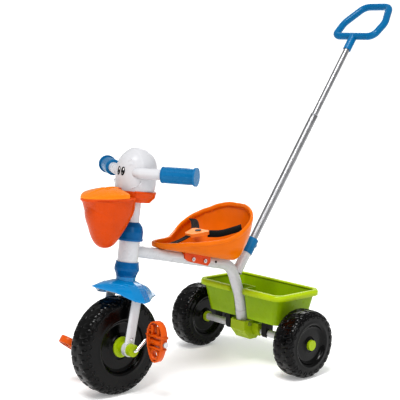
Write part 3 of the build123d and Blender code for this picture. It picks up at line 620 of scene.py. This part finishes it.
def dish_lip():
    """The thick rounded lip of the collar dish behind the beak."""
    build = Build()
    profile = [(DISH_RADIUS + LIP_HALF_WIDTH * math.cos(a), DISH_HEIGHT + LIP_HALF_HEIGHT * math.sin(a)) for a in
               [2 * math.pi * k / 14 for k in range(14)]]
    rows = []
    for i in range(73):
        angle = math.radians(LIP_START + LIP_SWEEP * i / 72)
        rows.append([steer(r * math.cos(angle), r * math.sin(angle), z) for r, z in profile])
    build.grid(rows, wrap_columns=True, cap_ends=True)
    return build.piece("dish_lip", DEEP_ORANGE, "steering", "deep_orange")


dish_lip()


# ---- seat and harness ----
seat_surface = surface_of("seat_shell")

SEAT_NOSE_Y = -345
SEAT_CENTRE_Y = -190
SEAT_BACK_Y = -130
RIM_STATIONS = ((-360, 361), (-346, 361), (-256, 359), (-196, 366), (-146, 380), (-100, 404), (-76, 425), (-62, 444),
                (-50, 444))
RIM_SEARCH_START, RIM_SEARCH_TURNS, RIM_SEARCH_STEP = 356.0, 14, 0.6
SHOULDER_RISE, SHOULDER_Y, SHOULDER_SPREAD = 13.0, -124, 56
BACK_DROP, BACK_DROP_Y, BACK_DROP_SPREAD = 9.0, -58, 15
SEAT_WALL = 0.0034
OUTWARD = 1.0
FLOOR_RISE, FLOOR_KNEE_Y, BACK_RISE = 18.6, -138.0, 0.30
SPINE_NOSE_Y, SPINE_LENGTH, SPINE_SHARE_FROM = -325, 215, 285
FOOT_SHARE_X, FOOT_SHARE_Y = 0.56, 0.60


def rim_height(y):
    """Height of the seat's rim, in millimetres, climbing from the nose to the back."""
    for (y0, z0), (y1, z1) in zip(RIM_STATIONS[:-1], RIM_STATIONS[1:]):
        if y <= y1:
            return z0 + (z1 - z0) * max(0.0, (y - y0) / (y1 - y0))
    return RIM_STATIONS[-1][1]


def hump(y, centre, spread):
    """A smooth rise of 1 at the centre that dies away over the spread."""
    return math.exp(-((y - centre) / spread) ** 2)


def seat_loop(total=160):
    """Points round the outside of the rim, found on the solid seat and then eased."""
    loop = []
    for i in range(total):
        angle = 2 * math.pi * i / total
        out = Vector((math.sin(angle), -math.cos(angle), 0))
        height = RIM_SEARCH_START
        hit = None
        for _ in range(RIM_SEARCH_TURNS):
            found = seat_surface.ray_cast(at(0, SEAT_CENTRE_Y, height - 1.2) + out * 0.4, -out)[0]
            if found is None:
                height -= 4
                continue
            hit = found
            height += (rim_height((hit.y - AXLE_Y) / MM) - height) * RIM_SEARCH_STEP
        loop.append(hit)
    for _ in range(4):
        loop = [(loop[i - 1] + loop[i] * 2 + loop[(i + 1) % total]) / 4 for i in range(total)]
    for point in loop:
        y = (point.y - AXLE_Y) / MM
        point.z += SHOULDER_RISE * hump(y, SHOULDER_Y, SHOULDER_SPREAD) * MM
        point.z -= BACK_DROP * hump(y, BACK_DROP_Y, BACK_DROP_SPREAD) * MM
    return loop


def seat_floor(y):
    """Height of the seat's underside, in millimetres: along the main tube and then rising to the back."""
    (y0, z0), (y1, z1) = MAIN_TUBE_START, FRAME_BEND
    slope = (z1 - z0) / (y1 - y0)
    near = min(y, FLOOR_KNEE_Y)
    return z0 + slope * (near - y0) + FLOOR_RISE + max(0.0, y - FLOOR_KNEE_Y) * BACK_RISE


def inside_shell(point, level):
    """The point, drawn in to the solid seat's wall where the seat's back would pass it."""
    if level == 0 or point.y < AXLE_Y + SEAT_BACK_Y * MM:
        return point
    out = Vector((point.x, point.y - AXLE_Y - SEAT_CENTRE_Y * MM, 0)).normalized()
    hit = seat_surface.ray_cast(point + out * 0.1, -out, 0.14)[0]
    if hit is None or (hit - point).dot(out) > 0:
        return point
    return hit


def seat_bowl():
    """The moulded bucket: a round-bottomed shell between the floor and the rolled rim."""
    rim = seat_loop()
    total = len(rim)
    rows = []
    wall_steps, floor_steps = 12, 7
    for point in rim:
        x, y, z = (point.x / MM, (point.y - AXLE_Y) / MM, point.z / MM)
        share = min(max((y - SEAT_NOSE_Y) / SPINE_SHARE_FROM, 0), 1)
        spine_y = SPINE_NOSE_Y + share * SPINE_LENGTH
        foot_x, foot_y = x * FOOT_SHARE_X, spine_y + (y - spine_y) * FOOT_SHARE_Y
        column = []
        for k in range(wall_steps + 1):
            t = 1 - k / wall_steps
            wide, tall = math.sin(t * math.pi / 2) ** 0.85, 1 - math.cos(t * math.pi / 2) ** 1.1
            px, py = foot_x + (x - foot_x) * wide, foot_y + (y - foot_y) * wide
            low = seat_floor(py)
            column.append(inside_shell(at(px, py, low + (z - low) * tall), k))
        for k in range(1, floor_steps + 1):
            t = 1 - k / floor_steps
            px, py = foot_x * t, spine_y + (foot_y - spine_y) * t
            column.append(at(px, py, seat_floor(py)))
        rows.append(column)
    build = Build()
    build.grid(rows, wrap_rows=True)
    bowl = build.piece("seat_bowl", ORANGE, "frame", "orange_seat", ("seat_shell",))
    weld = bowl.modifiers.new("Weld", "WELD")
    weld.merge_threshold = 0.0002
    solid = bowl.modifiers.new("Wall", "SOLIDIFY")
    solid.thickness = SEAT_WALL
    solid.offset = OUTWARD
    return rim


def seat_rim(loop):
    """The rolled lip that runs round the whole seat."""
    total = len(loop)
    build = Build()
    rows = []
    for i, point in enumerate(loop):
        along = (loop[(i + 1) % total] - loop[i - 1]).normalized()
        side = along.cross(Vector((0, 0, 1))).normalized()
        up = side.cross(along).normalized()
        ring = []
        for k in range(16):
            turn = 2 * math.pi * k / 16
            c, s = math.cos(turn), math.sin(turn)
            wide = math.copysign(abs(c) ** 0.7, c) * 4.2
            tall = math.copysign(abs(s) ** 0.7, s) * 6.4
            ring.append(point + (side * (wide + 0.2) + up * (tall - 4.6)) * MM)
        rows.append(ring)
    build.grid(rows, wrap_rows=True, wrap_columns=True)
    return build.piece("seat_rim", ORANGE, "frame", "orange_seat")


seat_rim(seat_bowl())


def strap(name, stations, width, replaced, steps=48):
    """Webbing band through stations of (centre point, direction across the band)."""
    centres = smooth_path([p for p, _ in stations], steps)
    acrosses = smooth_path([a.normalized() for _, a in stations], steps)
    build = Build()
    rows = []
    for i, (centre, across) in enumerate(zip(centres, acrosses)):
        along = (centres[min(i + 1, steps - 1)] - centres[max(i - 1, 0)]).normalized()
        across = (across - along * across.dot(along)).normalized()
        out = along.cross(across)
        half = width / 2
        ring = []
        for u, w in ((-half, 0.0), (-half + 0.5, 0.8), (-half + 2.2, 1.0), (-half + 3.0, 0.8), (half - 3.0, 0.8),
                     (half - 2.2, 1.0), (half - 0.5, 0.8), (half, 0.0), (half - 0.5, -0.8), (-half + 0.5, -0.8)):
            ring.append(centre + (across * u + out * w) * MM)
        rows.append(ring)
    build.grid(rows, wrap_columns=True, cap_ends=True)
    return build.piece(name, WEB, "frame", "black_webbing", replaced)


SHOULDER_LINES = {
    "left": ([(88, -134, 392), (72, -147, 384), (46, -168, 373.5), (22, -190, 371.5)], (-0.434, 0.553, 0.705)),
    "right": ([(-91, -139, 391), (-74, -147, 386), (-46, -170, 377), (-20, -196, 373)], (-0.538, -0.69, 0.156)),
}
SHOULDER_WIDTH, CROTCH_WIDTH = 22, 18
for label, (line, across) in SHOULDER_LINES.items():
    stations = [(at(*p), Vector(across)) for p in line]
    strap("shoulder_strap_" + label, stations, SHOULDER_WIDTH, ("harness_strap_" + label,))

CROTCH_LINE = ((-232, 369), (-262, 359), (-300, 352), (-332, 353.5))
strap("crotch_band", [(at(0, y, z), Vector((1, 0, 0))) for y, z in CROTCH_LINE], CROTCH_WIDTH, ("crotch_strap",))


# ---- pedals ----
PEDAL_HALF_WIDTH = 33
RIGHT_PEDAL_TURN = 55


def foot_edge(inset, total=96):
    """Outline of the foot-shaped pedal: round heel below, broad ball and three toes above."""
    edge = []
    for i in range(total):
        turn = 2 * math.pi * i / total
        c, s = math.cos(turn), math.sin(turn)
        wide = 27.0 + 6.0 * s
        toes = 1.8 * abs(math.sin(1.5 * (turn - math.pi / 2) + math.pi / 2)) if s > 0.35 else 0.0
        edge.append(((wide - inset) * math.copysign(abs(c) ** 0.86, c), (49.0 + toes - inset) * s))
    return edge


def pedal_piece(side):
    """The open moulded pedal: a banded outline, cross ribs, toe slats, a heel ring and the spindle boss."""
    node = "pedal_" + side
    low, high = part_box(node)
    half = (high.x - low.x) / 2
    sign = 1 if side == "left" else -1
    turn = 0.0 if side == "left" else math.radians(RIGHT_PEDAL_TURN)
    axle = at(0, CRANK_Y + sign * CRANK_THROW_Y, CRANK_Z + sign * CRANK_THROW_Z)
    centre_x = middle(node).x

    def place(x, depth, z):
        """A point on the pedal: x across it, depth through it and z up the foot from the spindle."""
        up = z + 0.5
        y1, z1 = depth * math.cos(turn) - up * math.sin(turn), depth * math.sin(turn) + up * math.cos(turn)
        return Vector((centre_x + x * half / PEDAL_HALF_WIDTH, axle.y + y1 * MM, axle.z + z1 * MM))

    build = Build()
    outer, inner = foot_edge(0.0), foot_edge(3.4)
    rows = []
    for (ox, oz), (ix, iz) in zip(outer, inner):
        rows.append([place(ox, -8.0, oz), place(ox, 8.0, oz), place(ox * 0.98, 9.0, oz * 0.98),
                     place(ix, 9.0, iz), place(ix, -9.0, iz), place(ox * 0.98, -9.0, oz * 0.98)])
    build.grid(rows, wrap_rows=True, wrap_columns=True)

    def bar(x0, z0, x1, z1, thick, deep):
        along = Vector((x1 - x0, z1 - z0)).normalized()
        across = Vector((-along.y, along.x)) * thick / 2
        ends = []
        for x, z in ((x0, z0), (x1, z1)):
            ends.append([place(x + across.x, -deep, z + across.y), place(x + across.x, deep, z + across.y),
                         place(x - across.x, deep, z - across.y), place(x - across.x, -deep, z - across.y)])
        build.grid(ends, wrap_columns=True, cap_ends=True)

    for z, reach, thick, deep in ((15, 31, 5.0, 8.6), (-14, 26, 4.6, 8.6), (0, 30, 15.0, 4.0)):
        bar(-reach, z, reach, z, thick, deep)
    for x in (-11, 11):
        bar(x, 14, x, 46 - abs(x) * 0.45, 4.6, 8.0)
    bar(-29, 27, -10, 27, 4.0, 7.0)
    for x in (-20, 20):
        bar(x, -14, x, 14, 2.8, 8.0)
    ring = []
    for k in range(32):
        a = 2 * math.pi * k / 32
        ring.append([place(r * math.cos(a), depth, -29 + r * math.sin(a)) for r, depth in
                     ((13.5, -8.2), (13.5, 8.2), (10.8, 8.2), (10.8, -8.2))])
    build.grid(ring, wrap_rows=True, wrap_columns=True)
    for x in (-11, 11):
        bar(x, -16, x * 1.7, -26, 2.6, 7.0)
    boss = []
    for k in range(32):
        a = 2 * math.pi * k / 32
        boss.append([place(x * PEDAL_HALF_WIDTH * MM / half, r * math.cos(a), r * math.sin(a) - 0.5) for x, r in
                     ((-29.5, 4.3), (-29.5, 7.8), (29.0, 7.8), (29.0, 4.3))])
    build.grid(boss, wrap_rows=True, wrap_columns=True)
    build.piece(node + "_foot", PEDAL_ORANGE, node, "orange_pedal", (node,))


for side in ("left", "right"):
    pedal_piece(side)


# ---- tub rim and push rod ----
RIM_INSET, RIM_CORNER, RIM_GAP = 4.6, 25, 24.5


def tub_rim():
    """Rolled rim of the tub, open at the front where the down tube stands."""
    low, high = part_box("tub")
    inset, corner = RIM_INSET * MM, RIM_CORNER * MM
    x1, y0, y1 = high.x - inset, low.y + inset, high.y - inset
    points = []
    for cx, cy, start in ((x1 - corner, y0 + corner, -90), (x1 - corner, y1 - corner, 0)):
        for k in range(13):
            a = math.radians(start + 90 * k / 12)
            points.append(Vector((cx + corner * math.cos(a), cy + corner * math.sin(a), 0)))
    gap = RIM_GAP * MM
    steps = [Vector((gap + (points[0].x - gap) * k / 10, y0, 0)) for k in range(10)]
    right = steps + points
    back = [Vector((points[-1].x * (1 - k / 10), y1, 0)) for k in range(1, 10)]
    half = right + back
    line = half + [Vector((-p.x, p.y, 0)) for p in reversed(half)]
    build = Build()
    rows = []
    top = high.z
    for i, point in enumerate(line):
        along = (line[min(i + 1, len(line) - 1)] - line[max(i - 1, 0)]).normalized()
        out = Vector((along.y, -along.x, 0))
        ring = []
        for u, w in ((8.0, -15.0), (8.8, -14.2), (8.8, -6.0), (7.8, -3.0), (5.0, -0.6), (1.5, 0.6), (-3.0, 0.6),
                     (-4.8, -0.3), (-5.4, -2.4), (-5.4, -5.0), (2.6, -5.5), (4.0, -15.0)):
            ring.append(Vector((point.x, point.y, top)) + (out * u + Vector((0, 0, w))) * MM)
        rows.append(ring)
    build.grid(rows, wrap_columns=True, cap_ends=True)
    # the rim wears the lighter lime copy, a painted highlight
    return build.piece("tub_rim", LIT_RIM_LIME, "tub", "lime_tub")


tub_rim()


ROD_WALL = 1.2


def rod_tubes():
    """The two bright tubes of the push rod, drawn smooth, with an eased lip at each mouth."""
    lean = math.radians(ROD_LEAN)
    place = pointing(at(0, *ROD_MOUTH), Vector((0, math.sin(lean), math.cos(lean))))
    for node, body, start, end, radius in (("push_rod_lower", "push_rod", -64, 447, 10.5),
                                           ("push_rod_upper", "push_rod_upper", 217, 708, 8.5)):
        inner = radius - ROD_WALL
        build = Build()
        levels = [start + (end - start) * k / 24 for k in range(1, 24)]
        outer = [(radius - 0.35, start), *((radius, z) for z in levels), (radius, end - 0.6), (radius - 0.4, end)]
        build.turn([(inner, start)] + outer + [(inner, end)], place, 72)
        build.piece(node + "_tube", POLISHED, body, "polished_tube", (node,))


rod_tubes()


# ---- small fittings ----
SCREW_FACE_DEPTH = 0.0002
SCREW_SPAN = 0.0115


def clusters(points, span):
    """The points in groups, each within the span of its group's first point."""
    groups = []
    for point in points:
        for group in groups:
            if (group[0] - point).length < span:
                group.append(point)
                break
        else:
            groups.append([point])
    return groups


def screw_crosses():
    """Cross recesses in the heads of the seat and fork screws, drawn as dark crosses a little proud of the heads:
    painted shade in place of the hollows.
    """
    for node, body in (("seat_screws", "frame"), ("fork_screws", "steering")):
        build = Build()
        low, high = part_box(node)
        edge = (high.x - low.x) / 2 - SCREW_FACE_DEPTH
        heads = {}
        for vertex in nodes[node].data.vertices:
            if abs(vertex.co.x) > edge:
                heads.setdefault(vertex.co.x > 0, []).append(vertex.co.copy())
        for positive, points in heads.items():
            for group in clusters(points, SCREW_SPAN):
                centre = Vector([(min(p[i] for p in group) + max(p[i] for p in group)) / 2 for i in range(3)])
                reach = max((p - centre).length for p in group) * 0.62
                sign = 1 if positive else -1
                for turn in (35, 125):
                    a = math.radians(turn)
                    along = Vector((0, math.cos(a), math.sin(a))) * reach
                    wide = Vector((0, -math.sin(a), math.cos(a))) * reach * 0.2
                    ring = [along + wide, -along + wide, -along - wide, along - wide]
                    rows = [[centre + p * k + Vector((sign * lift * MM, 0, 0)) for p in ring]
                            for lift, k in ((-0.3, 1.0), (0.12, 1.0), (0.16, 0.9))]
                    build.grid(rows if positive else [list(reversed(r)) for r in rows], wrap_columns=True,
                               cap_ends=True)
        # the crosses take the dark metal: painted shade
        build.piece(node + "_recess_shade", SCREW_RECESS_SHADE, body, "zinc_steel")


screw_crosses()


def tube_plugs():
    """Small black plugs in both sides of the main tube, behind the seat's foot."""
    build = Build()
    frame_surface = surface_of("main_frame")
    for side in (-1, 1):
        hit, normal, _, _ = frame_surface.ray_cast(at(side * 60, -150, 292), Vector((-side, 0, 0)))
        place = pointing(hit, normal)
        build.turn([(0.01, -1.0), (3.0, -1.0), (3.4, 0.3), (2.8, 0.9), (0.01, 1.0)], place, 28)
    return build.piece("tube_plugs", BLACK, "frame", "black_plastic")


tube_plugs()


def tube_sleeve():
    """The sleeve at the foot of the down tube, above the bracket."""
    foot, knee = at(0, *DOWN_TUBE_FOOT), at(0, *FRAME_KNEE)
    place = pointing(foot, (knee - foot).normalized())
    build = Build()
    build.turn([(14.6, 14), (15.9, 14), (15.9, 43), (15.5, 44), (14.6, 44)], place, 64)
    return build.piece("down_tube_sleeve", PAINT, "frame", "white_paint")


tube_sleeve()


def mudguard_ribs():
    """Raised veins that run over the mudguard from its collar to its edges."""
    guard = surface_of("mudguard")
    build = Build()
    for side in (-1, 1):
        for xs, ys in (((24, 40, 56), (-40, -14, 10)), ((14, 30, 44), (-62, -40, -22)), ((24, 34, 44), (30, 36, 40))):
            points = []
            for x, y in zip(xs, ys):
                start = steer(side * x, y, 240)
                hit = guard.ray_cast(start, STEER.to_3x3() @ Vector((0, 0, -1)))[0]
                if hit:
                    points.append(hit - (STEER.to_3x3() @ Vector((0, 0, 0.5))) * MM)
            if len(points) > 2:
                build.tube(smooth_path(points, 20), tapered(0.4, 1.5, 0.03), 10)
    return build.piece("mudguard_veins", SKY_BLUE, "steering", "light_blue_plastic")


mudguard_ribs()


def grip_ribs():
    """Fine raised lines along each grip, between its end rings."""
    for label, side in (("left", 1), ("right", -1)):
        sweep = math.radians(BAR_SWEEP)
        start = at(side * GRIP_START_X, BAR_Y + (GRIP_START_X - BAR_BEND_X) * math.tan(sweep), BAR_Z)
        place = pointing(start, Vector((side * math.cos(sweep), math.sin(sweep), 0)))
        build = Build()
        build.turn([(18.2, 0.6), (19.7, 1.0), (19.9, 2.6), (19.6, 4.0), (18.2, 4.4)], place, 64)
        for k in range(12):
            turn = 2 * math.pi * k / 12
            offset = Vector((math.cos(turn), math.sin(turn), 0)) * 18.9
            line = [place @ ((offset + Vector((0, 0, z))) * MM) for z in (8, 20, 40, 60, 74)]
            build.tube(smooth_path(line, 12), lambda t: 0.15 + 0.55 * min(1, 8 * t, 8 * (1 - t)), 8)
        build.piece("grip_ribs_" + label, BLUE, "steering", "blue_plastic")


grip_ribs()


# ---- stage, light and camera ----
FLOOR_REACH = 40
BACKDROP_RADIUS = 45
FLOOR_GLOW, WORLD_STRENGTH, BACKDROP_GLOW = 0.22, 0.42, 0.97


def stage():
    """A pale floor, an even white world and a white backdrop that only the camera sees."""
    mesh = bpy.data.meshes.new("Floor")
    corners = [(x * FLOOR_REACH, y * FLOOR_REACH, 0) for x, y in ((-1, -1), (1, -1), (1, 1), (-1, 1))]
    mesh.from_pydata(corners, [], [(0, 1, 2, 3)])
    floor = bpy.data.objects.new("Floor", mesh)
    shader = Shader("Pale floor", 0.6, specular=0.2)
    pale = shader.ranged(shader.noise(3, 2), 0.3, 0.7, 0.0, 1.0)
    shader.link(shader.blend(pale, (0.88, 0.88, 0.88, 1), (0.9, 0.9, 0.9, 1)), "Base Color")
    shader.surface.inputs["Emission Color"].default_value = (1, 1, 1, 1)
    shader.surface.inputs["Emission Strength"].default_value = FLOOR_GLOW
    mesh.materials.append(shader.material)
    bpy.context.scene.collection.objects.link(floor)
    world = bpy.data.worlds.new("Studio")
    world.use_nodes = True
    background = world.node_tree.nodes["Background"]
    background.inputs["Color"].default_value = (1, 1, 1, 1)
    background.inputs["Strength"].default_value = WORLD_STRENGTH
    bpy.context.scene.world = world
    bpy.ops.mesh.primitive_uv_sphere_add(segments=48, ring_count=24, radius=BACKDROP_RADIUS)
    dome = bpy.context.object
    dome.name = "Backdrop"
    glow = Shader("Backdrop white", 1.0, specular=0.0)
    glow.surface.inputs["Base Color"].default_value = (0, 0, 0, 1)
    glow.surface.inputs["Emission Color"].default_value = (1, 1, 1, 1)
    glow.surface.inputs["Emission Strength"].default_value = BACKDROP_GLOW
    dome.data.materials.append(glow.material)
    dome.visible_diffuse = False
    dome.visible_glossy = False
    dome.visible_shadow = False
    dome.visible_transmission = False


def lamp(name, kind, place, target, energy, size):
    """A light that points at the target; size is a sun's angle in degrees or an area's side in metres."""
    data = bpy.data.lights.new(name, kind)
    data.energy = energy
    if kind == "SUN":
        data.angle = math.radians(size)
    else:
        data.size = size
    made = bpy.data.objects.new(name, data)
    made.location = place
    made.rotation_euler = (target - place).to_track_quat("-Z", "Y").to_euler()
    bpy.context.scene.collection.objects.link(made)


LENS, SENSOR = 96.07, 36
CAMERA_AZIMUTH, CAMERA_ELEVATION, CAMERA_DISTANCE, CAMERA_ROLL = 46.34, 7.76, 2.7419, 1.73


def camera():
    """The camera at the side and front, a little above the wheels."""
    data = bpy.data.cameras.new("Camera")
    data.lens = LENS
    data.sensor_width = SENSOR
    made = bpy.data.objects.new("Camera", data)
    azimuth, elevation = math.radians(CAMERA_AZIMUTH), math.radians(CAMERA_ELEVATION)
    back = Vector((math.sin(azimuth) * math.cos(elevation), -math.cos(azimuth) * math.cos(elevation),
                   math.sin(elevation)))
    target = at(0, -200, 457)
    made.location = target + back * CAMERA_DISTANCE
    look = (-back).to_track_quat("-Z", "Y")
    roll = Matrix.Rotation(math.radians(CAMERA_ROLL), 4, "Z")
    made.matrix_world = Matrix.Translation(made.location) @ look.to_matrix().to_4x4() @ roll
    bpy.context.scene.collection.objects.link(made)
    bpy.context.scene.camera = made


stage()
aim = at(0, -150, 300)
lamp("Key", "SUN", at(700, -1500, 3600), aim, 2.0, 24)
lamp("Softbox", "AREA", at(2600, -1200, 1900), aim, 12, 1.2)
lamp("Rim", "AREA", at(-1500, 1800, 1700), aim, 12, 1.2)
camera()
view = bpy.context.scene.view_settings
view.view_transform = "Standard"
view.look = "Medium High Contrast"
